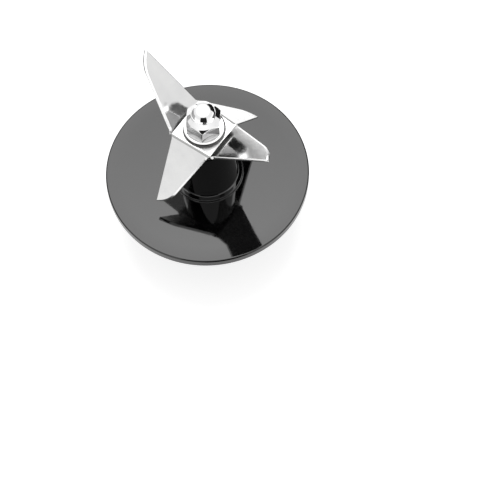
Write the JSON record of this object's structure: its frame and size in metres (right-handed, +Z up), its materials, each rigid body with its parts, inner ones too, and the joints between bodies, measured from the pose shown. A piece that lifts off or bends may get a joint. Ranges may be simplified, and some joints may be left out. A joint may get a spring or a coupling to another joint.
{
  "type": "blender blade assembly",
  "caption": "Blender cutter: a round glossy base with a bearing hub, carrying a shaft with a bent sheet-steel blade, washer and dome nut, driven from below by a toothed coupling.",
  "frame": {"origin": "on the shaft axis, at the flat bottom of the drive coupling on which the part stands", "axes": "+Z up along the shaft axis, +X to the right and +Y to the back as the picture sees the part"},
  "size_m": [0.08, 0.08, 0.081],
  "materials": {
    "black_gloss": "mirror-gloss moulded black",
    "bronze": "sintered, oil-soaked",
    "felt": "pressed felt",
    "seal_rubber": "smooth moulded rubber",
    "plain_steel": "zinc-plated",
    "turned_steel": "turned stainless",
    "spring_steel": "blued spring steel",
    "blade_steel": "polished stainless sheet",
    "nut_chrome": "polished nickel plate",
    "fibre": "red-brown fibre sheet",
    "coupling_nylon": "glass-filled nylon, fine matt"
  },
  "bodies": {
    "base": {"base_disc": "black_gloss", "upper_bush": "bronze", "lower_bush": "bronze", "oil_felt": "felt", "upper_thrust_washer": "bronze", "shaft_seal": "seal_rubber", "seal_spring": "plain_steel", "bearing_retainer": "plain_steel", "retainer_screws": "plain_steel"},
    "rotor": {"drive_shaft": "turned_steel", "water_slinger": "seal_rubber", "blade_seat": "turned_steel", "blade": "blade_steel", "nut_washer": "nut_chrome", "cap_nut": "nut_chrome", "friction_washer": "fibre", "thrust_washer": "plain_steel", "retaining_ring": "spring_steel", "drive_coupling": "coupling_nylon", "coupling_washer": "plain_steel", "coupling_screw": "plain_steel"}
  },
  "joints": [
    {"name": "blade_spin", "type": "hinge", "parent": "base", "child": "rotor", "pos_m": [0, 0, 0.0238], "axis": [0, 0, 1], "continuous": true}
  ]
}
